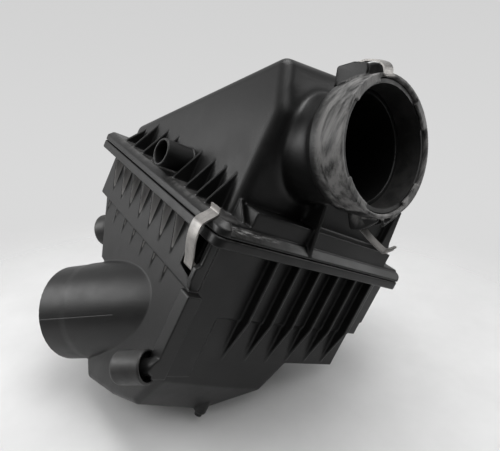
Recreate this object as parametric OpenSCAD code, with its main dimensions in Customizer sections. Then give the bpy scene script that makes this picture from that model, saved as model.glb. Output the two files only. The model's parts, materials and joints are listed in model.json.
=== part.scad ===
// Air filter housing: a deep lower case with an inlet stub, a wedge-shaped lid with a round outlet collar,
// four spring clips round the parting flange, two spring clips on the collar and a pleated panel filter.
// Every module is written with x to the right and y to the back from the flange's front left corner and
// z up from the parting plane. placed() then moves the whole part so that its origin is on the locating peg.

/* [Flange] */
// Width of the parting flange, left to right
flange_w = 224; // [220:1:228]
// Depth of the parting flange, front to back
flange_d = 243; // [240:1:246]
// Corner radius of the flange
flange_r = 8; // [6:0.5:10]
// Height of the lid's flange band
lid_rim_h = 9.5; // [9:0.5:10]
// Chamfer along the top edge of the lid's flange band
lid_chamfer = 4.5; // [4:0.5:5]
// Bottom of the lower case's flange band, below the parting plane
case_rim_z = 8.4; // [8:0.1:10]
// Gap that shows between the two flange bands
parting_gap = 0.8; // [0.4:0.1:1.2]

/* [Lower case] */
// Wall thickness of the mouldings
wall = 3; // [2.5:0.1:3.5]
// Distance from the flange edge to the side walls of the lower case
side_in = 13.5; // [13:0.5:14]
// Distance from the flange edge to the front wall of the lower case
front_in = 12.8; // [12:0.2:13.6]
// Depth of the tub beside the sump, below the parting plane
tub_z = 103.8; // [100:0.2:108]
// Height of the moulded step on the side walls, below the parting plane
ledge_z = 53; // [52:1:54]
// Distance between the gussets of the front wall
front_pitch = 24.6; // [24:0.1:25]
// Distance between the gussets of the side walls
side_pitch = 23.3; // [22.8:0.1:23.4]
// Thickness of the gussets
rib = 2.5; // [2:0.1:3]

/* [Inlet stub] */
// Outer radius of the inlet stub
inlet_r = 45; // [43:0.5:46]
// Wall thickness of the inlet stub
inlet_wall = 3; // [2.5:0.1:3.5]

/* [Lid] */
// Distance from the flange edge to the side walls of the lid
lid_side_in = 22; // [21:0.5:23]
// Rounding of the lid's edges
lid_round = 9; // [8:0.5:10]
// Slope of the roof from front to back, in degrees
roof_slope = 29.4; // [29:0.1:29.8]
// Height by which the roof swells above the outlet
crown = 14.6; // [12:0.2:16]
// Distance between the gussets beside the lid
lid_pitch = 22.25; // [22:0.05:22.3]
// Outer radius of the breather tube
breather_r = 11.5; // [10:0.5:12]

/* [Outlet collar] */
// Outer radius of the collar
collar_r = 48; // [47.6:0.1:48.4]
// Inner radius of the rubber sleeve, which seats the air meter
seat_r = 41.4; // [41:0.1:42]
// Tilt of the collar's axis above the flange plane, in degrees
collar_tilt = 18.6; // [18:0.1:19.5]
// Turn of the collar's axis towards the left, in degrees
collar_yaw = 2; // [1:0.1:3]
// Angle of the collar's clips round the rim, from the top towards the left
clip_turn = 24; // [20:1:28]

/* [Spring clips] */
// Width of the spring strip
strip_w = 12; // [11:0.5:12]
// Thickness of the spring strip
strip_t = 1.2; // [1:0.1:1.2]
// Distance from the flange's front or back edge to the middle of a clip
clip_y = 20.5; // [20:0.1:21]
// Angle by which the lower collar clip hangs open
hang = 48; // [30:1:48]

/* [Filter] */
// Depth of the pleats
pleat_h = 44; // [36:1:46]
// Distance between the pleats
pleat_pitch = 6.5; // [5.5:0.5:8]

/* [Hidden] */
$fn = 64;

// The locating peg under the sump, which holds the origin.
peg = [84.5, 29, -169];
peg_r = 3.5;
peg_free = 4;
peg_boss_r = 5.5;

// The mounting studs run beside the inlet's axis: the far end of each, and its length to its root.
front_stud = [-10.6, 25.3, -120.5];
front_stud_r = 6.2;
front_stud_len = 36;
front_bush_r = 12.4;
rear_stud = [34.2, 229.3, -94.1];
rear_stud_r = 7;
rear_stud_len = 44;
rear_bush_r = 17;
bush_len = 25;

// The inlet stub: middle of its mouth, and the turn that takes +z to its outward axis.
inlet_end = [10, 172, -164.5];
inlet_turn = [0, 124.8, 118.1];
inlet_reach = 150;
inlet_free = 27;
inlet_step = 0.6;

// The tub and the sump.
step_in = side_in + 2.5;
tub_right = 205.5;
tub_back = 230;
sump_round = 6;
panel_x = 40;
bay_z = 65;

// The lid.
lid_back_in = 14;
lid_front_in = 25;
lid_front_z = 91.5;
ridge_y = 48.7;
crown_shift = 6.6;
crown_x = [92, 122];
lid_gusset_y = [40.5, 55.5, for (i = [0:6]) 73 + i * lid_pitch];
breather_y = 111;
breather_z = 24;
roof_at_ridge = 128.5;

// The collar frame: +z points out of the collar and +y up, from the middle of its rim.
rim_mid = [74.9, -30, 98.5];
sleeve_r = 44.2;
throat_r = 38.2;
neck_r = 40.8;
neck_end = 79;
seat_front = 2.4;
seat_end = 21.4;
// The lugs that bridge the slot behind the rim, each as its first and last angle.
lugs = [[35, 63], [122, 158], [224, 258], [314, 342]];

// Spring clips: the pivot pin, and the clearance of the eye that turns on it.
pin_r = 1.5;
eye_play = 0.05;
eye_r = pin_r + eye_play + strip_t;
clip_pivot = [-4, -31];
places = ["left", "rear", "right_front", "right_rear"];
rear_clip_x = 50;
right_clip_y = [77, 193.5];
collar_pivot = [54, -25.5];
arm_w = 6.6;
hook_w = 9;
cheek_in = 8.5;
cheek_t = 2.5;
pin_front = 11.5;
pin_back = 31.5;
collar_pin_half = 10;

// The rebate in the lower flange that holds the filter's frame.
seal_in = 8.3;
seal_h = 4;

function unit(v) = v / norm(v);

// One corner b of an outline, between a and c, as an arc of radius r in n steps.
function corner(a, b, c, r, n) =
    r <= 0 ? [b] :
    let (u = unit(a - b), v = unit(c - b), half = acos(u * v) / 2,
         m = b + unit(u + v) * r / sin(half),
         s = b + u * r / tan(half) - m, e = b + v * r / tan(half) - m,
         sweep = sign(s[0] * e[1] - s[1] * e[0]) * (180 - 2 * half), start = atan2(s[1], s[0]))
    [for (k = [0:n]) m + r * [cos(start + sweep * k / n), sin(start + sweep * k / n)]];

// The outline p with every corner rounded to the radius of the same place in r.
function rounded(p, r, n = 6) =
    [for (i = [0:len(p) - 1])
        each corner(p[(i + len(p) - 1) % len(p)], p[i], p[(i + 1) % len(p)], is_list(r) ? r[i] : r, n)];

// A smooth curve through the points p, with n steps between each pair.
function spline(p, n = 4) =
    [for (i = [0:len(p) - 2], k = [0:(i == len(p) - 2 ? n : n - 1)])
        let (a = p[max(i - 1, 0)], b = p[i], c = p[i + 1], d = p[min(i + 2, len(p) - 1)], t = k / n)
        0.5 * (2 * b + t * (c - a) + t * t * (2 * a - 5 * b + 4 * c - d)
            + t * t * t * (3 * b - a - 3 * c + d))];

// The unit normal of the curve p at its point i.
function normal_at(p, i) =
    let (d = unit(p[min(i + 1, len(p) - 1)] - p[max(i - 1, 0)])) [d[1], -d[0]];

// The outline of a strip of thickness t along the curve p.
function strip(p, t) =
    concat([for (i = [0:len(p) - 1]) p[i] + normal_at(p, i) * t / 2],
           [for (i = [len(p) - 1:-1:0]) p[i] - normal_at(p, i) * t / 2]);

// The flange outline, drawn in by d on every side.
function flange_outline(d) =
    rounded([[d, d], [flange_w - d, d], [flange_w - d, flange_d - d], [d, flange_d - d]],
            max(flange_r - d, 1.5));

module placed() {
    translate(-peg) children();
}

// Extrudes an outline given in (y, z) from x = x0 to x = x1.
module along_x(x0, x1) {
    translate([x0, 0, 0]) rotate([90, 0, 90]) linear_extrude(x1 - x0) children();
}

// Extrudes an outline given in (x, z) from y = y0 to y = y1.
module along_y(y0, y1) {
    translate([0, y1, 0]) rotate([90, 0, 0]) linear_extrude(y1 - y0) children();
}

module block(lo, hi) {
    translate(lo) cube(hi - lo);
}

// Repeats its children, drawn for the left side, as they lie on the right side.
module on_both_sides() {
    children();
    translate([flange_w, 0, 0]) mirror([1, 0, 0]) children();
}

// Moves its children, drawn for the left clip, to the clip of that place.
module at_clip(place) {
    if (place == "left") children();
    if (place == "rear") translate([rear_clip_x - clip_y, flange_d, 0]) rotate([0, 0, -90]) children();
    if (place == "right_front") on_right(right_clip_y[0]) children();
    if (place == "right_rear") on_right(right_clip_y[1]) children();
}

module on_right(y) {
    translate([flange_w, y - clip_y, 0]) mirror([1, 0, 0]) children();
}

module in_collar() {
    translate(rim_mid) rotate([90 - collar_tilt, 0, -collar_yaw]) children();
}

// The frame of a collar clip: x along its pin, y away from the collar's axis, z out of the collar.
module in_collar_clip(bottom) {
    in_collar() rotate([0, 0, clip_turn + (bottom ? 180 : 0)]) children();
}

// Extrudes an outline given in (y, z) of a clip's frame over the width w about x = 0.
module across(w) {
    rotate([90, 0, 90]) translate([0, 0, -w / 2]) linear_extrude(w) children();
}

/* ---- lower case ---- */

// The closed form of the tub, drawn in by t on every face but the top.
module tub_form(t, top) {
    along_x(step_in + t, tub_right - t)
        polygon([[front_in + t, top], [front_in + t, t - tub_z], [177.5 - t, t - tub_z],
                 [220 - t * 0.6, t - 53], [tub_back - t, t - 51], [tub_back - t, top]]);
    along_x(side_in + t, flange_w - side_in - t)
        polygon([[front_in + t, top], [front_in + t, t - ledge_z], [tub_back - t, t - ledge_z],
                 [tub_back - t, top]]);
}

// The form of the sump, drawn in by t: balls at its corners, pulled tight.
module sump_form(t) {
    r = sump_round;
    left = step_in + r;
    front = front_in + r;
    hull() {
        for (p = [[left, front, -90], [left, front, -122], [left, 34, -154], [left, 68, -172.5],
                  [left, 111, -190], [left, 120, -184], [left, 168, -109], [left, 160, -90],
                  [86, front, -128], [86, 34, -161], [86, 68, -176], [86, 108, -184],
                  [122, front, -130], [122, 60, -133], [122, 112, -131],
                  [137, front, -103], [137, 165, -103], [137, 160, -90]])
            translate(p) sphere(r - t, $fn = 20);
    }
}

// A gusset of the lower front wall at x, with its kink where the bays step back.
module front_gusset(x) {
    foot = x < 120 ? -106 : -103.6;
    along_x(x - rib / 2, x + rib / 2)
        polygon([[front_in + 2, -case_rim_z + 1], [2.8, -case_rim_z + 1], [2.8, -62.5],
                 [front_in + 0.6, foot], [front_in + 2, foot]]);
}

// A gusset of the left wall at y, with the small one under the ledge.
module side_gusset(y) {
    along_y(y - rib / 2, y + rib / 2) {
        polygon([[side_in + 1, -case_rim_z + 1], [3.3, -case_rim_z + 1], [side_in, -43],
                 [side_in + 1, -43]]);
        polygon([[step_in + 1, -ledge_z + 1], [side_in, -ledge_z + 1], [side_in, -ledge_z],
                 [step_in, -ledge_z - 16], [step_in + 1, -ledge_z - 16]]);
    }
}

// A gusset of the rear wall at x.
module rear_gusset(x) {
    translate([0, flange_d, 0]) mirror([0, 1, 0]) along_x(x - rib / 2, x + rib / 2)
        polygon([[14, -case_rim_z + 1], [3, -case_rim_z + 1], [13, -46], [14, -46]]);
}

// The cheeks that hold one clip's pin, drawn for the left clip.
module clip_cheeks() {
    difference() {
        along_y(8.5, front_in + 1)
            polygon([[10, -case_rim_z + 1], [4, -case_rim_z + 1], [4, -26], [0.8, -29],
                     [0.8, -37], [3, -46], [10, -46]]);
        pin_hole();
    }
    translate([0, 0, -46]) linear_extrude(47 - case_rim_z)
        polygon([[9, 8.5], [10, 8.5], [side_in, front_in - 1], [side_in + 1, front_in + 2],
                 [9, front_in + 1]]);
    difference() {
        along_y(29, 31.5)
            polygon([[side_in + 1, -case_rim_z + 1], [1.2, -case_rim_z + 1], [1.2, -35],
                     [side_in, -45], [side_in + 1, -45]]);
        pin_hole();
    }
}

// The blind hole for a flange clip's pin, from the front cheek through the back one.
module pin_hole() {
    translate([-clip_pivot[0], pin_front, clip_pivot[1]]) rotate([-90, 0, 0])
        cylinder(h = 40, r = pin_r);
}

// The frame of a stud with its far end at p: +z runs to its root, against the inlet's axis.
module on_stud(p) {
    translate(p) rotate(inlet_turn) mirror([0, 0, 1]) children();
}

// The post at the front left corner, with a pocket round the bush and the stud in the pocket.
module front_post() {
    difference() {
        union() {
            block([-1, 1, -113], [11, front_in + 1, -46]);
            block([8, front_in - 1.4, -118], [panel_x, front_in + 1, -case_rim_z + 1]);
        }
        on_stud(front_stud) translate([0, 0, -10])
            cylinder(h = bush_len + 8.8, r = front_bush_r + 0.8);
    }
    intersection() {
        on_stud(front_stud) cylinder(h = front_stud_len, r = front_stud_r);
        block([-40, 1, -160], [front_in, 80, -60]);
    }
}

// The rear stud stands on the sloping back wall, on a low boss.
module rear_post() {
    on_stud(rear_stud) {
        cylinder(h = rear_stud_len, r = rear_stud_r);
        translate([0, 0, 30]) cylinder(h = rear_stud_len - 30, r = rear_stud_r + 4);
    }
}

module locating_peg() {
    translate([peg[0], peg[1], peg[2] - peg_free / 2]) cylinder(h = 20, r = peg_r);
    translate([peg[0], peg[1], peg[2] + peg_free / 2]) cylinder(h = 24, r = peg_boss_r);
}

// The inlet's axis: +z runs out of the mouth.
module in_inlet() {
    translate(inlet_end) rotate(inlet_turn) children();
}

// The right front corner, which stands out beside the tub, drawn in by t.
module corner_form(t, top) {
    block([200, front_in + t, t - 54], [219 - t, 46 - t, top]);
    block([200, front_in + t, t - 67], [216.5 - t, 46 - t, -50]);
}

module case_cavity() {
    tub_form(wall, 1);
    sump_form(wall);
    corner_form(wall, -case_rim_z);
}

module lower_case() {
    color("#3a3b3c") placed() difference() {
        union() {
            tub_form(0, -2);
            sump_form(0);
            corner_form(0, -case_rim_z + 1);
            translate([0, 0, -case_rim_z]) linear_extrude(case_rim_z - parting_gap)
                polygon(flange_outline(0));
            block([8, front_in - 1.4, -bay_z], [flange_w - 19, front_in + 1, -case_rim_z + 1]);
            for (i = [0:5]) front_gusset(64.2 + i * front_pitch);
            on_both_sides() for (i = [0:6]) side_gusset(65.4 + i * side_pitch);
            for (i = [1:5]) rear_gusset(52 + i * front_pitch);
            for (place = places) at_clip(place) clip_cheeks();
            front_post();
            rear_post();
            locating_peg();
        }
        case_cavity();
        translate([0, 0, -parting_gap - seal_h]) linear_extrude(20)
            polygon(flange_outline(seal_in - 0.3));
        translate([0, 0, -parting_gap]) linear_extrude(20) polygon(flange_outline(-1));
        in_inlet() translate([0, 0, -inlet_reach])
            cylinder(h = inlet_reach + 40, r = inlet_r + inlet_step);
    }
}

module inlet_stub() {
    color("#3c3d3f") placed() difference() {
        // the part that takes the hose is a little slimmer than the rest
        in_inlet() difference() {
            union() {
                translate([0, 0, -inlet_free]) cylinder(h = inlet_free, r = inlet_r);
                translate([0, 0, -inlet_reach])
                    cylinder(h = inlet_reach - inlet_free, r = inlet_r + inlet_step);
            }
            translate([0, 0, -inlet_reach - 1])
                cylinder(h = inlet_reach + 2, r = inlet_r - inlet_wall);
        }
        case_cavity();
    }
}

// A rubber bush on a stud: domed at the far end, with a ring-shaped hollow towards the root.
module bush(stud, stud_r, r) {
    on_stud(stud) difference() {
        rotate_extrude()
            polygon(concat([[0, -3]], [for (a = [0:15:90]) [r - 4 + 4 * sin(a), 1 - 4 * cos(a)]],
                           [[r, bush_len - 3], [r - 0.8, bush_len - 2], [0, bush_len - 2]]));
        cylinder(h = bush_len, r = stud_r);
        translate([0, 0, bush_len - 10]) cylinder(h = 10, r = r - 1.8);
    }
}

module front_bush() {
    color("#262626") placed() bush(front_stud, front_stud_r, front_bush_r);
}

module rear_bush() {
    color("#262626") placed() bush(rear_stud, rear_stud_r, rear_bush_r);
}

/* ---- lid ---- */

// Height of the roof's corner balls at y, raised by h.
function roof_ball_z(y, h) =
    roof_at_ridge - (y - ridge_y) * tan(roof_slope) - lid_round / cos(roof_slope) + h;

// The form of the lid above z0, drawn in by t: balls and upright rods at its corners, pulled tight.
module lid_form(t, z0) {
    r = lid_round;
    left = lid_side_in + r;
    right = flange_w - lid_side_in - r;
    front = lid_front_in + r;
    back = flange_d - lid_back_in - r;
    hull() {
        for (x = [left, right]) {
            translate([x, front, z0]) cylinder(h = lid_front_z - z0, r = r - t, $fn = 24);
            translate([x, front, lid_front_z]) sphere(r - t, $fn = 24);
            translate([x, ridge_y, roof_ball_z(ridge_y, 0)]) sphere(r - t, $fn = 24);
            translate([x, back, z0]) cylinder(h = roof_ball_z(back, 0) - z0, r = r - t, $fn = 24);
            translate([x, back, roof_ball_z(back, 0)]) sphere(r - t, $fn = 24);
        }
        for (x = crown_x) {
            translate([x, ridge_y + crown_shift, roof_ball_z(ridge_y + crown_shift, crown)])
                sphere(r - t, $fn = 24);
            translate([x, back, roof_ball_z(back, crown)]) sphere(r - t, $fn = 24);
        }
    }
}

// The lid's flange: a band with a chamfered top edge, made of four bars and four corners.
module lid_rim() {
    section = [[0, 0], [0, lid_rim_h - lid_chamfer], [lid_chamfer, lid_rim_h],
               [flange_r - 0.2, lid_rim_h], [flange_r - 0.2, 0]];
    long = [flange_w - 2 * flange_r, flange_d - 2 * flange_r];
    translate([flange_r, 0, 0]) rotate([90, 0, 90]) linear_extrude(long[0]) polygon(section);
    translate([flange_w - flange_r, flange_d, 0]) rotate([90, 0, -90])
        linear_extrude(long[0]) polygon(section);
    translate([0, flange_d - flange_r, 0]) rotate([90, 0, 0]) linear_extrude(long[1])
        polygon(section);
    translate([flange_w, flange_r, 0]) rotate([90, 0, 180]) linear_extrude(long[1])
        polygon(section);
    for (c = [[flange_r, flange_r, 180], [flange_w - flange_r, flange_r, 270],
              [flange_w - flange_r, flange_d - flange_r, 0], [flange_r, flange_d - flange_r, 90]])
        translate([c[0], c[1], 0]) rotate([0, 0, c[2]]) rotate_extrude(angle = 90)
            polygon([for (p = section) [flange_r - p[0], p[1]]]);
    linear_extrude(lid_rim_h) polygon(flange_outline(flange_r - 0.4));
}

// What the front edge of the lid's flange lacks: a wide chamfer, with a groove behind it.
module front_edge_cut() {
    along_x(9, flange_w + 1)
        polygon([[-1, 0.6], [6.2, 7.8], [6.2, 6.2], [7.6, 6.2], [7.6, 12], [-1, 12]]);
}

// A gusset between the lid's left wall and its flange, lower where the roof comes down.
module lid_gusset(y) {
    top = min(38.7, roof_at_ridge - (y - ridge_y) * tan(roof_slope) - 12);
    along_y(y - rib / 2, y + rib / 2)
        polygon([[lid_side_in + 1, 6], [6, 6], [5.4, lid_rim_h - 0.5], [lid_side_in, top],
                 [lid_side_in + 1, top]]);
}

// The breather tube's frame: +z runs along it into the lid.
module in_breather() {
    translate([-4, breather_y, breather_z]) rotate([0, 90, 0]) children();
}

module upper_case() {
    color("#3a3b3c") placed() difference() {
        union() {
            lid_form(0, 2);
            difference() {
                lid_rim();
                front_edge_cut();
            }
            // the plinth across the foot of the front wall, and the little rib that closes it
            block([28.8, 7.6, 5], [198, lid_front_in + 2, 21.5]);
            along_x(24, 26.5) polygon([[27, 6], [12, 6], [12, lid_rim_h], [26, 23], [27, 23]]);
            // the fin under the neck
            along_x(88, 91.5) polygon([[27, 4], [4, 4], [0.4, 2.2], [9, 46], [12, 52], [27, 52]]);
            // the web at the right front corner
            along_y(20.2, 27)
                polygon([[196, 6], [219, 6], [219, 8.5], [214, 18], [207.5, 30], [201.5, 61], [196, 61]]);
            for (y = lid_gusset_y) if (abs(y - breather_y) > breather_r) lid_gusset(y);
            translate([flange_w, 0, 0]) mirror([1, 0, 0]) for (y = lid_gusset_y) lid_gusset(y);
            in_breather() cylinder(h = 28, r = breather_r);
        }
        lid_form(wall, -5);
        in_breather() translate([0, 0, -6]) cylinder(h = 40, r = breather_r - 2);
        in_collar() translate([0, 0, -neck_end - 4]) cylinder(h = neck_end - 26, r = neck_r);
    }
}

// The outline of the collar and its neck, in (r, z), with z out of the rim.
module collar_outline() {
    polygon(rounded([[45, 0], [collar_r, 0], [collar_r, -15], [46.6, -18], [46, -29],
                     [neck_r, -37], [neck_r, -neck_end], [throat_r, -neck_end],
                     [throat_r, -seat_end], [sleeve_r, -seat_end], [sleeve_r, -9], [45, -9]],
                    [0.6, 0.8, 1, 1, 4, 6, 1, 1, 0, 0, 0, 0]));
}

// The cheek that holds one end of a collar clip's pin, in a blind hole, on that side of the clip.
module collar_cheek(bottom, side) {
    top_outline = [[46, -8], [51, -6], [54.6, -6.6], [57.2, -17.5], [56.4, -32], [43, -36],
                   [44, -25], [46, -20]];
    bottom_outline = [[46, -4], [49.5, -4], [54, -12], [57, -20], [56.8, -28.5], [43.5, -29.5],
                      [44, -25], [46, -20]];
    difference() {
        translate([side * (cheek_in + cheek_t / 2), 0, 0]) across(cheek_t)
            polygon(rounded(bottom ? bottom_outline : top_outline, [0, 1, 1, 3, 2, 0, 0, 0]));
        collar_pin_bar();
    }
}

// The catch under the rim: a small pierced plate in front of the lower clip's cheeks.
module catch_plate() {
    translate([0, 0, -3]) linear_extrude(2) difference() {
        polygon([[8.5, 44], [8.5, 53.4], [-8.5, 49.4], [-8.5, 44]]);
        polygon([[6.7, 47.5], [6.7, 50.8], [-6.7, 48.2], [-6.7, 47.5]]);
    }
}

module outlet_collar() {
    color("#3a3b3c") placed() {
        in_collar() {
            rotate_extrude() collar_outline();
            for (lug = lugs) rotate([0, 0, lug[0]]) rotate_extrude(angle = lug[1] - lug[0])
                polygon([[42, 0], [45.5, 0], [45.5, -2.3], [42, -2.3]]);
        }
        for (bottom = [false, true], side = [-1, 1]) in_collar_clip(bottom)
            collar_cheek(bottom, side);
        in_collar_clip(true) difference() {
            catch_plate();
            translate([0, 0, -10]) cylinder(h = 20, r = 46);
        }
    }
}

module outlet_sleeve() {
    color("#303132") placed() in_collar() rotate_extrude()
        polygon([[seat_r, -seat_front], [sleeve_r, -seat_front], [sleeve_r, -seat_end], [seat_r, -seat_end]]);
}

/* ---- spring clips ---- */

// The middle line of a flange clip, in (outwards, up) from the flange's outer edge.
flange_strip = spline([[-1.85, -31], [-0.6, -27], [2.6, -19], [4.9, -11], [5.6, -4], [5.2, 0.3],
                       [3.4, 2.9], [1, 5.3], [-3.1, 9.4], [-3.7, 11.6], [-2.6, 14.6]]);

// The middle lines of the collar clips, in (away from the axis, out of the collar): the upper one
// is bowed by its pull, the lower one is slack and drawn here as it would lie if closed.
bowed_strip = spline([[56.15, -25.5], [57.2, -20], [57.5, -13.4], [56.2, -7], [54.2, -2], [51.6, 0.7],
                      [48.6, 1.3], [46, 1.2], [45.3, 2.8]]);
slack_strip = spline([[56.15, -25.5], [56.2, -20], [55.4, -12], [53.9, -4], [52, 1.4], [49.4, 3],
                      [46.8, 2], [45.6, 3.4]]);
hook_from = 16;

// A spring strip of middle line p with an eye round its pivot pin.
module strip_outline(p, pivot) {
    difference() {
        union() {
            polygon(strip(p, strip_t));
            translate(pivot) circle(r = eye_r);
        }
        translate(pivot) circle(r = pin_r + eye_play);
    }
}

module flange_clip(place) {
    color("#b9b5a8") placed() at_clip(place)
        along_y(clip_y - strip_w / 2, clip_y + strip_w / 2)
            mirror([1, 0]) strip_outline(flange_strip, clip_pivot);
}

module flange_pin(place) {
    color("#9b9a94") placed() at_clip(place)
        translate([-clip_pivot[0], pin_front, clip_pivot[1]]) rotate([-90, 0, 0])
            cylinder(h = pin_back - pin_front, r = pin_r);
}

module clip_left() { flange_clip("left"); }
module clip_rear() { flange_clip("rear"); }
module clip_right_front() { flange_clip("right_front"); }
module clip_right_rear() { flange_clip("right_rear"); }
module pin_left() { flange_pin("left"); }
module pin_rear() { flange_pin("rear"); }
module pin_right_front() { flange_pin("right_front"); }
module pin_right_rear() { flange_pin("right_rear"); }

// A collar clip: a narrow arm, with a wider hook and a wider eye round its pin.
module collar_clip(bottom) {
    p = bottom ? slack_strip : bowed_strip;
    color("#c4c1b6") placed() in_collar_clip(bottom)
        translate([0, collar_pivot[0], collar_pivot[1]]) rotate([bottom ? -hang : 0, 0, 0])
            translate([0, -collar_pivot[0], -collar_pivot[1]]) difference() {
                union() {
                    across(arm_w) polygon(strip(p, strip_t));
                    across(hook_w)
                        polygon(strip([for (i = [hook_from:len(p) - 1]) p[i]], strip_t));
                    across(hook_w) translate(collar_pivot) circle(r = eye_r);
                }
                across(hook_w + 1) translate(collar_pivot) circle(r = pin_r + eye_play);
            }
}

module collar_pin_bar() {
    translate([-collar_pin_half, collar_pivot[0], collar_pivot[1]]) rotate([0, 90, 0])
        cylinder(h = 2 * collar_pin_half, r = pin_r);
}

module collar_pin(bottom) {
    color("#9b9a94") placed() in_collar_clip(bottom) collar_pin_bar();
}

module collar_clip_top() { collar_clip(false); }
module collar_clip_bottom() { collar_clip(true); }
module collar_pin_top() { collar_pin(false); }
module collar_pin_bottom() { collar_pin(true); }

/* ---- filter ---- */

module filter_frame() {
    color("#4a4a48") placed() translate([0, 0, -parting_gap - seal_h]) difference() {
        linear_extrude(seal_h + parting_gap) polygon(flange_outline(seal_in));
        translate([24, 24, -1]) cube([flange_w - 48, flange_d - 50, 10]);
    }
}

module filter_pleats() {
    depth = flange_d - 50;
    count = floor(depth / pleat_pitch);
    step = depth / count;
    fold = [for (i = [0:count * 2]) [24 + i * step / 2, i % 2 == 0 ? -3 : -3 - pleat_h]];
    color("#d8cfae") placed() along_x(24, flange_w - 24)
        polygon(concat(fold, [for (i = [count * 2:-1:0]) fold[i] - [0, 3]]));
}

lower_case();
inlet_stub();
front_bush();
rear_bush();
upper_case();
outlet_collar();
outlet_sleeve();
collar_pin_top();
collar_pin_bottom();
collar_clip_top();
collar_clip_bottom();
filter_frame();
filter_pleats();
clip_left();
clip_rear();
clip_right_front();
clip_right_rear();
pin_left();
pin_rear();
pin_right_front();
pin_right_rear();
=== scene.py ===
"""Air filter housing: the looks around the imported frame."""

import json
import math

import bmesh
import bpy
import numpy as np
from mathutils import Matrix, Vector


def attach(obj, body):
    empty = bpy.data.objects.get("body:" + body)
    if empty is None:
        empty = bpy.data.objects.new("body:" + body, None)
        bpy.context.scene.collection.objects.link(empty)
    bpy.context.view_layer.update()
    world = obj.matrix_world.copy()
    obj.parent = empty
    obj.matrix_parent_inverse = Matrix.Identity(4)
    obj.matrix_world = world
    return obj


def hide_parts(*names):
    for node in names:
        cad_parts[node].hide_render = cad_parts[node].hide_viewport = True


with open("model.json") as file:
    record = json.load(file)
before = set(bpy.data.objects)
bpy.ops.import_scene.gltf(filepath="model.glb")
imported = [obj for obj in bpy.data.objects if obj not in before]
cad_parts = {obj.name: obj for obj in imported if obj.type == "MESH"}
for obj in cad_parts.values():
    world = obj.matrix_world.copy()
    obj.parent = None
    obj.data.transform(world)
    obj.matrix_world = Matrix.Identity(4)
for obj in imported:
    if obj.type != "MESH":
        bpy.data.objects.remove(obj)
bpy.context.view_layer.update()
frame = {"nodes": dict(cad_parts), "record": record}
nodes = frame["nodes"]
scene = bpy.context.scene
scene.view_settings.view_transform = "Standard"

MM = 0.001
# The flange's front left corner and the parting plane, from the origin on the locating peg.
CORNER = Vector((-84.5, -29, 169)) * MM


def at(x, y, z):
    """A point given in millimetres from the flange's front left corner, in the row frame."""
    return CORNER + Vector((x, y, z)) * MM


def direction(tilt, turn):
    """The unit vector at tilt degrees from +z, and turned this many degrees from +x round it."""
    tilt, turn = math.radians(tilt), math.radians(turn)
    return np.array((math.sin(tilt) * math.cos(turn), math.sin(tilt) * math.sin(turn), math.cos(tilt)))


# The collar's rim and the inlet stub's mouth: the middle, in millimetres from the corner, and the
# axis out of the housing.
RIM_MID = (74.9, -30, 98.5)
RIM_AXIS = direction(90 - 18.6, 270 - 2)
MOUTH_MID = (10, 172, -164.5)
MOUTH_AXIS = direction(124.8, 118.1)

# ---- camera ----

# Where the camera stands, and what is right, down and ahead in its picture.
CAMERA_AT = Vector((-0.2659, -0.2588, 0.2376))
RIGHT, DOWN, AHEAD = (0.7305, -0.5374, 0.4214), (0.2152, -0.4044, -0.8889), (0.6481, 0.7400, -0.1798)
lens = bpy.data.cameras.new("camera")
lens.sensor_width = 36
lens.lens = 33.47
lens.clip_start, lens.clip_end = 0.02, 20
camera = bpy.data.objects.new("camera", lens)
camera.matrix_world = Matrix.Translation(CAMERA_AT) @ Matrix(
    (
        (RIGHT[0], -DOWN[0], -AHEAD[0]),
        (RIGHT[1], -DOWN[1], -AHEAD[1]),
        (RIGHT[2], -DOWN[2], -AHEAD[2]),
    )
).to_4x4()
scene.collection.objects.link(camera)
scene.camera = camera


# ---- small helpers for shaders ----


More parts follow.
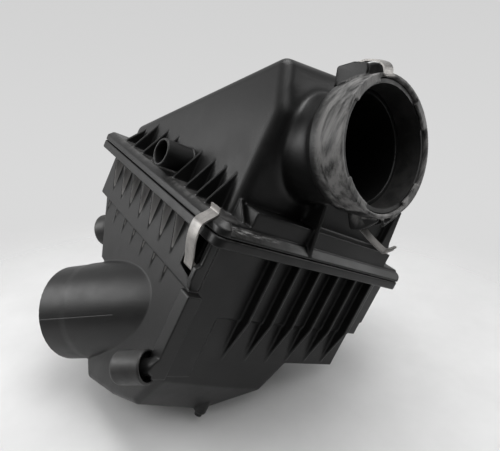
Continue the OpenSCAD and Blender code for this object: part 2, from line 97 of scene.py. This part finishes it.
class Shader:
    """A node tree with short ways to add and join nodes."""

    def __init__(self, name):
        self.material = bpy.data.materials.new(name)
        self.material.use_nodes = True
        self.tree = self.material.node_tree
        self.bsdf = self.tree.nodes["Principled BSDF"]
        self.place = self.add("ShaderNodeTexCoord").outputs["Object"]

    def add(self, kind, **settings):
        node = self.tree.nodes.new(kind)
        for key, value in settings.items():
            setattr(node, key, value)
        return node

    def feed(self, socket, value):
        if isinstance(value, bpy.types.NodeSocket):
            self.tree.links.new(value, socket)
        else:
            socket.default_value = value

    def math(self, operation, a, b=0.0, clamp=False):
        node = self.add("ShaderNodeMath", operation=operation, use_clamp=clamp)
        self.feed(node.inputs[0], a)
        self.feed(node.inputs[1], b)
        return node.outputs[0]

    def noise(self, per_metre, detail, rough, stretch=(1, 1, 1)):
        place = self.place
        if stretch != (1, 1, 1):
            mapping = self.add("ShaderNodeMapping")
            self.feed(mapping.inputs["Vector"], self.place)
            mapping.inputs["Scale"].default_value = stretch
            place = mapping.outputs[0]
        node = self.add("ShaderNodeTexNoise")
        self.feed(node.inputs["Vector"], place)
        node.inputs["Scale"].default_value = per_metre
        node.inputs["Detail"].default_value = detail
        node.inputs["Roughness"].default_value = rough
        return node.outputs["Fac"]

    def ramp(self, value, low, high, out_low=0.0, out_high=1.0):
        node = self.add("ShaderNodeMapRange", interpolation_type="SMOOTHSTEP")
        self.feed(node.inputs["Value"], value)
        for key, number in zip(("From Min", "From Max", "To Min", "To Max"),
                               (low, high, out_low, out_high)):
            node.inputs[key].default_value = number
        return node.outputs[0]

    def mix(self, factor, a, b):
        node = self.add("ShaderNodeMix", data_type="RGBA")
        self.feed(node.inputs[0], factor)
        self.feed(node.inputs[6], a)
        self.feed(node.inputs[7], b)
        return node.outputs[2]

    def inside(self, low, high, soft):
        """1 in the box between two points in millimetres from the flange's corner, fading over soft."""
        split = self.add("ShaderNodeSeparateXYZ")
        self.feed(split.inputs[0], self.place)
        total = 1.0
        for axis in range(3):
            place, first, last = split.outputs[axis], at(*low)[axis], at(*high)[axis]
            total = self.math("MULTIPLY", self.ramp(place, first - soft * MM, first), total)
            total = self.math("MULTIPLY", self.ramp(place, last, last + soft * MM, 1.0, 0.0), total)
        return total

    def across_y(self):
        """1 on faces that look along the y axis, either way."""
        split = self.add("ShaderNodeSeparateXYZ")
        self.feed(split.inputs[0], self.add("ShaderNodeTexCoord").outputs["Normal"])
        return self.ramp(self.math("ABSOLUTE", split.outputs[1]), 0.6, 0.85)

    def attribute(self, name):
        return self.add("ShaderNodeAttribute", attribute_name=name).outputs["Fac"]

    def bump(self, height, distance, strength, normal=None):
        node = self.add("ShaderNodeBump")
        node.inputs["Distance"].default_value = distance
        node.inputs["Strength"].default_value = strength
        self.feed(node.inputs["Height"], height)
        if normal is not None:
            self.feed(node.inputs["Normal"], normal)
        return node.outputs[0]


def grey(level, warm=0.0):
    """A grey of this brightness, with a little more red and less blue the warmer it is."""
    return (level * (1 + warm), level, level * (1 - warm), 1)


# ---- materials ----


def housing_material():
    s = Shader("housing")
    edge, dust_and_sheen, scuff = (s.attribute(name) for name in ("edge", "dust_and_sheen", "scuff"))
    cloud = s.noise(18, 4, 0.6)
    grain = s.noise(900, 2, 0.5)
    streaks = s.noise(160, 4, 0.65, stretch=(1, 1, 0.12))
    fine = s.noise(2600, 2, 0.6)
    base = s.mix(s.ramp(cloud, 0.3, 0.72), grey(0.004), grey(0.007))
    worn = s.math("MULTIPLY", edge, s.ramp(s.noise(240, 4, 0.7), 0.42, 0.75), clamp=True)
    base = s.mix(s.math("MULTIPLY", worn, 0.5), base, grey(0.075))
    # Partly dust and partly painted light: the gusset faces that look along y, under the flange and below
    # the ledge, are made pale as if lit from the front.
    gusset_dust_and_painted_light = s.math("MAXIMUM", s.inside((2.5, 62, -44), (13, 218, -9), 1.5),
                  s.math("MULTIPLY", s.inside((12, 62, -71), (17, 218, -54), 1.5), 0.6))
    gusset_dust_and_painted_light = s.math("MULTIPLY", gusset_dust_and_painted_light, s.across_y())
    gusset_dust_and_painted_light = s.math("MULTIPLY", gusset_dust_and_painted_light, s.ramp(streaks, 0.1, 0.6), clamp=True)
    # Pale powder from the attribute: dust on the ledges and the collar's rim, and painted sheen on the
    # collar's left side.
    powder_and_sheen = s.math("MULTIPLY", dust_and_sheen, s.ramp(streaks, 0.3, 0.66), clamp=True)
    base = s.mix(powder_and_sheen, base, grey(0.32, 0.02))
    base = s.mix(gusset_dust_and_painted_light, base, grey(0.5, 0.02))
    haze = s.math("MULTIPLY", s.ramp(s.noise(42, 5, 0.7), 0.5, 0.8), 0.08)
    base = s.mix(haze, base, grey(0.05, 0.05))
    scratches = s.noise(420, 5, 0.75, stretch=(0.25, 1, 1.6))
    scratched = s.math("MULTIPLY", scuff, s.ramp(scratches, 0.46, 0.62), clamp=True)
    base = s.mix(scratched, base, grey(0.36, 0.01))
    s.feed(s.bsdf.inputs["Base Color"], base)
    rough = s.ramp(s.noise(30, 4, 0.6), 0.3, 0.75, 0.34, 0.47)
    rough = s.math("ADD", rough, s.math("MULTIPLY", powder_and_sheen, 0.35), clamp=True)
    rough = s.math("ADD", rough, s.math("MULTIPLY", scratched, 0.2), clamp=True)
    s.feed(s.bsdf.inputs["Roughness"], rough)
    bumps = s.bump(grain, 0.00016, 0.5)
    bumps = s.bump(fine, 0.00005, 0.5, bumps)
    s.feed(s.bsdf.inputs["Normal"], bumps)
    s.bsdf.inputs["IOR"].default_value = 1.4
    return s.material


def rubber_material():
    s = Shader("rubber")
    base = s.mix(s.ramp(s.noise(90, 4, 0.65), 0.35, 0.7), grey(0.012), grey(0.024, 0.03))
    s.feed(s.bsdf.inputs["Base Color"], base)
    s.feed(s.bsdf.inputs["Roughness"], s.ramp(s.noise(120, 3, 0.6), 0.3, 0.7, 0.42, 0.58))
    s.feed(s.bsdf.inputs["Normal"], s.bump(s.noise(1400, 3, 0.6), 0.0001, 0.6))
    return s.material


def steel_material(name, low, high, rough_low, rough_high, metal, stretch):
    s = Shader(name)
    drawn = s.noise(2200, 3, 0.6, stretch=stretch)
    cloud = s.noise(130, 4, 0.65)
    base = s.mix(s.ramp(cloud, 0.3, 0.7), grey(low, 0.03), grey(high, 0.045))
    spots = s.ramp(s.noise(520, 4, 0.75), 0.62, 0.74)
    base = s.mix(s.math("MULTIPLY", spots, 0.6), base, grey(low * 0.45, 0.12))
    s.feed(s.bsdf.inputs["Base Color"], base)
    s.bsdf.inputs["Metallic"].default_value = metal
    s.feed(s.bsdf.inputs["Roughness"], s.ramp(drawn, 0.25, 0.75, rough_low, rough_high))
    s.feed(s.bsdf.inputs["Normal"], s.bump(drawn, 0.00004, 0.6))
    return s.material


def seal_material():
    s = Shader("seal")
    base = s.mix(s.ramp(s.noise(200, 4, 0.6), 0.3, 0.7), grey(0.05), grey(0.085, 0.02))
    s.feed(s.bsdf.inputs["Base Color"], base)
    s.bsdf.inputs["Roughness"].default_value = 0.7
    s.feed(s.bsdf.inputs["Normal"], s.bump(s.noise(1500, 4, 0.6), 0.00015, 0.7))
    return s.material


def paper_material():
    s = Shader("paper")
    fibre = s.noise(900, 5, 0.75, stretch=(0.3, 1, 1))
    base = s.mix(s.ramp(fibre, 0.3, 0.72), (0.50, 0.43, 0.27, 1), (0.70, 0.64, 0.46, 1))
    base = s.mix(s.math("MULTIPLY", s.ramp(s.noise(60, 4, 0.7), 0.5, 0.8), 0.5), base,
                 (0.22, 0.19, 0.14, 1))
    s.feed(s.bsdf.inputs["Base Color"], base)
    s.bsdf.inputs["Roughness"].default_value = 0.85
    s.feed(s.bsdf.inputs["Normal"], s.bump(fibre, 0.0002, 0.8))
    return s.material


materials = {
    "housing": housing_material(),
    "rubber": rubber_material(),
    "spring_steel": steel_material("spring_steel", 0.22, 0.34, 0.34, 0.5, 0.8, (1, 1, 0.05)),
    "pin_steel": steel_material("pin_steel", 0.34, 0.46, 0.28, 0.4, 1.0, (1, 1, 1)),
    "seal": seal_material(),
    "paper": paper_material(),
}
slot_of = {p["node"]: p["material_slot"] for p in frame["record"]["subparts"]}


def finish_with(obj, slot):
    obj.data.materials.clear()
    obj.data.materials.append(materials[slot])


# ---- meshes ----


def new_object(name, mesh):
    obj = bpy.data.objects.new(name, mesh)
    scene.collection.objects.link(obj)
    return obj


def applied(obj):
    """obj with its modifiers made permanent."""
    bpy.context.view_layer.update()
    depsgraph = bpy.context.evaluated_depsgraph_get()
    mesh = bpy.data.meshes.new_from_object(obj.evaluated_get(depsgraph))
    obj.modifiers.clear()
    old, obj.data = obj.data, mesh
    mesh.name = obj.name
    bpy.data.meshes.remove(old)
    return obj


def smooth_by_angle(mesh, degrees):
    """Shades the mesh smooth, apart from edges that turn by more than this angle."""
    mesh.polygons.foreach_set("use_smooth", np.ones(len(mesh.polygons), bool))
    bm = bmesh.new()
    bm.from_mesh(mesh)
    for edge in bm.edges:
        edge.smooth = len(edge.link_faces) == 2 and edge.calc_face_angle(0) < math.radians(degrees)
    bm.to_mesh(mesh)
    bm.free()


def points_of(mesh):
    co = np.zeros(len(mesh.vertices) * 3)
    mesh.vertices.foreach_get("co", co)
    return co.reshape(-1, 3)


def normals_of(mesh):
    no = np.zeros(len(mesh.vertices) * 3)
    mesh.vertices.foreach_get("normal", no)
    return no.reshape(-1, 3)


def edges_of(mesh):
    pairs = np.zeros(len(mesh.edges) * 2, np.int64)
    mesh.edges.foreach_get("vertices", pairs)
    return pairs.reshape(-1, 2)


def mean_of_neighbours(values, pairs, count):
    """For each vertex, the mean of the values at the far ends of its edges."""
    total = np.zeros((count,) + values.shape[1:])
    degree = np.bincount(pairs.ravel(), minlength=count).astype(float)
    for a, b in ((0, 1), (1, 0)):
        for k in range(values.shape[1]):
            total[:, k] += np.bincount(pairs[:, a], weights=values[pairs[:, b], k], minlength=count)
    return total / np.maximum(degree, 1)[:, None]


def soften(co, pairs, weight, rounds):
    """Moves the points towards the mean of their neighbours, by their weight, so many times."""
    for _ in range(rounds):
        co = co + weight[:, None] * 0.6 * (mean_of_neighbours(co, pairs, len(co)) - co)
    return co


def set_attribute(mesh, name, values):
    attribute = mesh.attributes.new(name, "FLOAT", "POINT")
    attribute.data.foreach_set("value", values.astype(np.float32))


def between(values, low, high, soft):
    """1 where the values lie from low to high, falling to 0 over soft outside."""
    return np.clip((values - low) / soft + 1, 0, 1) * np.clip((high - values) / soft + 1, 0, 1)


SOFTEN_ROUNDS = 3
FILLET_ROUNDS = 120
SMOOTH_BELOW = 50
# An edge counts as worn from the first bend on, and fully at the second, in millimetres that a
# point stands out from its neighbours.
WORN_FROM, WORN_AT = 0.03, 0.12


def from_corner(mesh):
    """The mesh's points, in millimetres from the flange's front left corner."""
    return points_of(mesh) / MM - np.array(CORNER) / MM


def moulded(name, members, voxel, share, fillet):
    """A moulding in one piece: the CAD nodes' meshes made into one skin of at most share triangles,
    with softly rounded edges. fillet(points, normals) gives a weight for the places that are
    rounded more."""
    bm = bmesh.new()
    for member in members:
        bm.from_mesh(nodes[member].data)
    mesh = bpy.data.meshes.new(name)
    bm.to_mesh(mesh)
    bm.free()
    obj = new_object(name, mesh)
    skin = obj.modifiers.new("skin", "REMESH")
    skin.mode = "VOXEL"
    skin.voxel_size = voxel * 1 * MM
    applied(obj)
    mesh = obj.data
    co, pairs = points_of(mesh), edges_of(mesh)
    co = soften(co, pairs, np.ones(len(co)), SOFTEN_ROUNDS)
    weight = fillet(co / MM - np.array(CORNER) / MM, normals_of(mesh))
    near = np.where(weight > 0)[0]
    index = np.full(len(co), -1)
    index[near] = np.arange(len(near))
    inner = index[pairs]
    inner = inner[(inner >= 0).all(1)]
    co[near] = soften(co[near], inner, weight[near], FILLET_ROUNDS)
    mesh.vertices.foreach_set("co", co.ravel())
    mesh.update()
    bend = mean_of_neighbours(co, pairs, len(co)) - co
    bend = -(bend * normals_of(mesh)).sum(1) / MM
    edge = np.clip((bend - WORN_FROM) / (WORN_AT - WORN_FROM), 0, 1)[:, None]
    for _ in range(2):
        edge = np.maximum(edge, mean_of_neighbours(edge, pairs, len(co)))
    set_attribute(mesh, "edge", edge[:, 0])
    thin = obj.modifiers.new("thin", "DECIMATE")
    thin.ratio = min(1.0, share / max(1, 2 * len(mesh.polygons)))
    applied(obj)
    smooth_by_angle(obj.data, SMOOTH_BELOW)
    return obj


def round_an_axis(p, n, middle, axis):
    """For each point, its place along the axis, its distance from it, and how far its normal
    looks away from it."""
    off = p - np.array(middle)
    along = off @ axis
    radial = off - along[:, None] * axis
    r = np.linalg.norm(radial, axis=1)
    return along, r, (radial * n).sum(1) / np.maximum(r, 1e-9)


def neck_fillet(p, n):
    """The crease where the neck of the collar meets the lid, on the outside."""
    along, r, outward = round_an_axis(p, n, RIM_MID, RIM_AXIS)
    neck = between(r, 40.3, 43, 1) * between(along, -70, -40, 6) * (outward > 0.15)
    wall = between(r, 40.3, 54, 5) * between(along, -78, -34, 5) * (n[:, 1] < 0.2) * (p[:, 1] > 14)
    return np.maximum(neck, wall * (p[:, 2] > 24))


def stub_fillet(p, n):
    """The hose stop round the inlet stub, which is only a soft swelling."""
    along, r, outward = round_an_axis(p, n, MOUTH_MID, MOUTH_AXIS)
    return between(along, -29, -25, 3) * between(r, 44.5, 46, 0.3) * (outward > 0.5)


lid = moulded("lid_moulding", ("upper_case", "outlet_collar"),
              voxel=0.62, share=190000, fillet=neck_fillet)
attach(lid, "lid")
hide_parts("upper_case", "outlet_collar")
tub = moulded("case_moulding", ("lower_case", "inlet_stub"),
              voxel=0.66, share=195000, fillet=stub_fillet)
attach(tub, "case")
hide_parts("lower_case", "inlet_stub")
for piece in (lid, tub):
    finish_with(piece, "housing")


def weather(obj):
    """Where dust has settled, where painted sheen stands for the highlight on the collar's left side, and
    where the edges are scuffed.
    """
    mesh = obj.data
    p, n = from_corner(mesh), normals_of(mesh)
    x, y, z = p.T
    ledges = between(x, 3, 22, 2) * between(z, -4, 14, 2)
    dust_and_sheen = 0.16 * ledges * (n[:, 2] > 0.6)
    along, r, _ = round_an_axis(p, n, RIM_MID, RIM_AXIS)
    rim = between(along, -3, 4, 0.5) * between(r, 41, 49, 0.5)
    # Painted sheen: the collar's left-facing side is made paler, as if it caught light.
    side = between(along, -24, 0, 1) * between(r, 46.5, 49, 0.5) * (n[:, 0] < -0.2)
    dust_and_sheen = np.maximum(dust_and_sheen, np.maximum(0.6 * rim, 0.5 * side))
    set_attribute(mesh, "dust_and_sheen", dust_and_sheen)
    corner = between(x, 9, 14, 1) * between(y, -1, 5, 1) * between(z, 5, 9, 1)
    front = between(x, 38, 46, 3) * (y < 1.5) * between(z, -8, -4, 1)
    set_attribute(mesh, "scuff", np.maximum(0.8 * corner, 0.5 * front))
    stub = between(x, -60, 14, 1) * between(y, 80, 240, 1) * between(z, -230, -100, 1)
    edge = np.zeros(len(p), np.float32)
    mesh.attributes["edge"].data.foreach_get("value", edge)
    mesh.attributes["edge"].data.foreach_set("value", (edge * (1 - 0.9 * stub)).astype(np.float32))


weather(lid)
weather(tub)


# ---- the panel filter ----


def sheet(name, rows, thick):
    """A thin sheet through rows of points, which are equally long."""
    mesh = bpy.data.meshes.new(name)
    wide = len(rows[0])
    faces = [
        (i * wide + j, i * wide + j + 1, (i + 1) * wide + j + 1, (i + 1) * wide + j)
        for i in range(len(rows) - 1)
        for j in range(wide - 1)
    ]
    mesh.from_pydata([tuple(v) for row in rows for v in row], [], faces)
    obj = new_object(name, mesh)
    solid = obj.modifiers.new("thick", "SOLIDIFY")
    solid.thickness = thick * MM
    solid.offset = 0
    applied(obj)
    smooth_by_angle(obj.data, SMOOTH_BELOW)
    return obj


# The paper's left and right, front and back, and bottom and top edges, within the seal.
PAPER_X = (24.6, 199.4)
PAPER_Y = (24.5, 216.5)
PAPER_Z = (-49.4, -4.6)
FOLDS = 29
STEPS_A_FOLD = 12
STEPS_ACROSS = 24


def fold_height(t):
    """The paper's height, from -1 to 1, at t of the way from one upper fold to the next."""
    wave = math.cos(2 * math.pi * t)
    square = math.copysign(abs(wave) ** 0.35, wave)
    ramp = 4 * abs(t - 0.5) - 1
    return 0.75 * ramp + 0.25 * square * min(1, abs(ramp) + 0.4)


def pleated_paper():
    """The paper of the filter, folded over rounded tips, with slightly uneven flanks."""
    pitch = (PAPER_Y[1] - PAPER_Y[0]) / FOLDS
    middle, half = (PAPER_Z[1] + PAPER_Z[0]) / 2, (PAPER_Z[1] - PAPER_Z[0]) / 2
    rows = []
    for i in range(FOLDS * STEPS_A_FOLD):
        y = PAPER_Y[0] + i / STEPS_A_FOLD * pitch
        z = middle + fold_height(i % STEPS_A_FOLD / STEPS_A_FOLD) * half
        row = []
        for j in range(STEPS_ACROSS + 1):
            x = PAPER_X[0] + j * (PAPER_X[1] - PAPER_X[0]) / STEPS_ACROSS
            sway = 0.25 * math.sin(x * 0.11 + y * 0.9) * min(1, j, STEPS_ACROSS - j)
            row.append(at(x, y + sway, z))
        rows.append(row)
    return sheet("pleated_paper", rows, 0.6)


BEADS_X = (68, 112, 156)
BEADS_Z = (-3.9, -50.1)
BEAD_RADIUS = 1.1
BEAD_LENGTH = 190


def glue_beads():
    """Threads of glue across the tips of the pleats, which keep them apart."""
    bm = bmesh.new()
    for x in BEADS_X:
        for z in BEADS_Z:
            bead = bmesh.ops.create_cone(bm, segments=10, radius1=BEAD_RADIUS * MM,
                                         radius2=BEAD_RADIUS * MM, depth=BEAD_LENGTH * MM, cap_ends=True)
            turn = Matrix.Translation(at(x, sum(PAPER_Y) / 2, z)) @ Matrix.Rotation(math.pi / 2, 4, "X")
            bmesh.ops.transform(bm, matrix=turn, verts=bead["verts"])
    mesh = bpy.data.meshes.new("glue_beads")
    bm.to_mesh(mesh)
    bm.free()
    smooth_by_angle(mesh, SMOOTH_BELOW)
    return new_object("glue_beads", mesh)


for piece, slot in ((pleated_paper(), "paper"), (glue_beads(), "seal")):
    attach(piece, "filter")
    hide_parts("filter_pleats")
    finish_with(piece, slot)


# ---- the mould line along the inlet stub ----


# The stub's radius at its mouth, and the hose stop behind it: its place and its height.
STUB_R = 45
STOP_AT = 27
STOP_HEIGHT = 0.6
# The line's cross section, in (sideways, out of the stub), and its points along the stub.
LINE_SECTION = ((-0.5, -0.2), (-0.2, 0.04), (0.0, 0.08), (0.2, 0.04), (0.5, -0.2))
LINE_START, LINE_STEP, LINE_POINTS = 1.5, 2.6, 33


def mould_line():
    """The fine raised line that the mould's joint leaves along the stub, on its left side."""
    mouth, out = at(*MOUTH_MID), Vector(MOUTH_AXIS)
    spot = Vector((0, 0, 1)).cross(out).normalized()
    across = out.cross(spot)
    rows = []
    for k in range(LINE_POINTS):
        t = LINE_START + k * LINE_STEP
        r = STUB_R + 0.05 + (STOP_HEIGHT if t > STOP_AT else 0)
        rows.append([mouth + (spot * (r + lift) + across * w - out * t) * MM for w, lift in LINE_SECTION])
    return sheet("mould_line", rows, 0.1)


line = mould_line()
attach(line, "case")
finish_with(line, "housing")


REPLACED = ("upper_case", "outlet_collar", "lower_case", "inlet_stub", "filter_pleats")

for name, obj in nodes.items():
    if name in REPLACED:
        continue
    finish_with(obj, slot_of[name])
    bevel = obj.modifiers.new("bevel", "BEVEL")
    bevel.width = (0.6 if slot_of[name] == "rubber" else 0.25) * MM
    bevel.segments = 2
    bevel.angle_limit = math.radians(40)

# ---- floor, light and backdrop ----

# The housing leans on its sump as in the photo, so the floor's upward direction isn't +z.
FLOOR_UP = Vector((-0.442, 0.098, 0.8915)).normalized()
lowest = min(FLOOR_UP.dot(v.co) for o in nodes.values() for v in o.data.vertices)
bm = bmesh.new()
bmesh.ops.create_grid(bm, x_segments=1, y_segments=1, size=1.0)
floor_mesh = bpy.data.meshes.new("floor")
bm.to_mesh(floor_mesh)
bm.free()
floor = new_object("floor", floor_mesh)
turn = FLOOR_UP.to_track_quat("Z", "Y")
floor.matrix_world = Matrix.Translation(FLOOR_UP * lowest) @ turn.to_matrix().to_4x4()


def floor_material():
    """Pale and faintly specked, and fading out with distance, so that it has no edge."""
    s = Shader("floor")
    base = s.mix(s.ramp(s.noise(9, 4, 0.6), 0.3, 0.7), grey(0.66), grey(0.72))
    specks = s.ramp(s.noise(260, 3, 0.6), 0.755, 0.79)
    base = s.mix(s.math("MULTIPLY", specks, 0.5), base, grey(0.35, 0.1))
    s.feed(s.bsdf.inputs["Base Color"], base)
    s.bsdf.inputs["Roughness"].default_value = 0.6
    away = s.add("ShaderNodeVectorMath", operation="LENGTH")
    s.feed(away.inputs[0], s.place)
    s.feed(s.bsdf.inputs["Alpha"], s.ramp(away.outputs["Value"], 0.25, 0.6, 1.0, 0.0))
    return s.material


floor.data.materials.append(floor_material())

world = bpy.data.worlds.new("backdrop")
scene.world = world
world.use_nodes = True
tree = world.node_tree
tree.nodes.clear()


def wnode(kind, **settings):
    node = tree.nodes.new(kind)
    for key, value in settings.items():
        setattr(node, key, value)
    return node


place = wnode("ShaderNodeTexCoord").outputs["Generated"]


def along(way, low, high):
    """From 0 to 1 as the view turns towards a direction."""
    dot = wnode("ShaderNodeVectorMath", operation="DOT_PRODUCT")
    tree.links.new(place, dot.inputs[0])
    dot.inputs[1].default_value = Vector(way).normalized()
    node = wnode("ShaderNodeMapRange", interpolation_type="SMOOTHSTEP")
    tree.links.new(dot.outputs["Value"], node.inputs["Value"])
    node.inputs["From Min"].default_value = low
    node.inputs["From Max"].default_value = high
    return node.outputs[0]


def light_field(way, low, high, dark, bright):
    """A background that turns from dark to bright as the view turns towards a direction."""
    node = wnode("ShaderNodeMix", data_type="RGBA")
    tree.links.new(along(way, low, high), node.inputs[0])
    node.inputs[6].default_value = dark
    node.inputs[7].default_value = bright
    back = wnode("ShaderNodeBackground")
    tree.links.new(node.outputs[2], back.inputs["Color"])
    return back


# The room lights the housing, while the camera sees a plain pale backdrop.
room = light_field((-0.35, 0.75, 0.55), -0.35, 0.6, grey(0.035), grey(0.62))
seen = light_field(FLOOR_UP, -0.35, 0.25, grey(0.70), grey(0.63))
choose = wnode("ShaderNodeMixShader")
tree.links.new(wnode("ShaderNodeLightPath").outputs["Is Camera Ray"], choose.inputs[0])
tree.links.new(room.outputs[0], choose.inputs[1])
tree.links.new(seen.outputs[0], choose.inputs[2])
tree.links.new(choose.outputs[0], wnode("ShaderNodeOutputWorld").inputs["Surface"])


def softbox(name, place, aim, size, watts):
    """A soft rectangular light at a place, which looks at another."""
    data = bpy.data.lights.new(name, "AREA")
    data.shape = "RECTANGLE"
    data.size, data.size_y = size
    data.energy = watts
    obj = bpy.data.objects.new(name, data)
    obj.location = place
    obj.rotation_euler = (Vector(aim) - Vector(place)).to_track_quat("-Z", "Y").to_euler()
    scene.collection.objects.link(obj)


MIDDLE = (0.03, 0.08, 0.13)
softbox("key", (-0.30, 0.15, 1.05), MIDDLE, (0.8, 0.6), 7)
softbox("side", (0.75, -0.35, 0.80), MIDDLE, (0.5, 0.4), 2.5)
softbox("window", (-0.76, 0.52, 0.07), (-0.09, 0.09, 0.05), (0.6, 0.35), 3.2)
softbox("fill", (-0.30, -0.70, 0.95), (-0.05, -0.12, -0.02), (0.7, 0.7), 2.6)
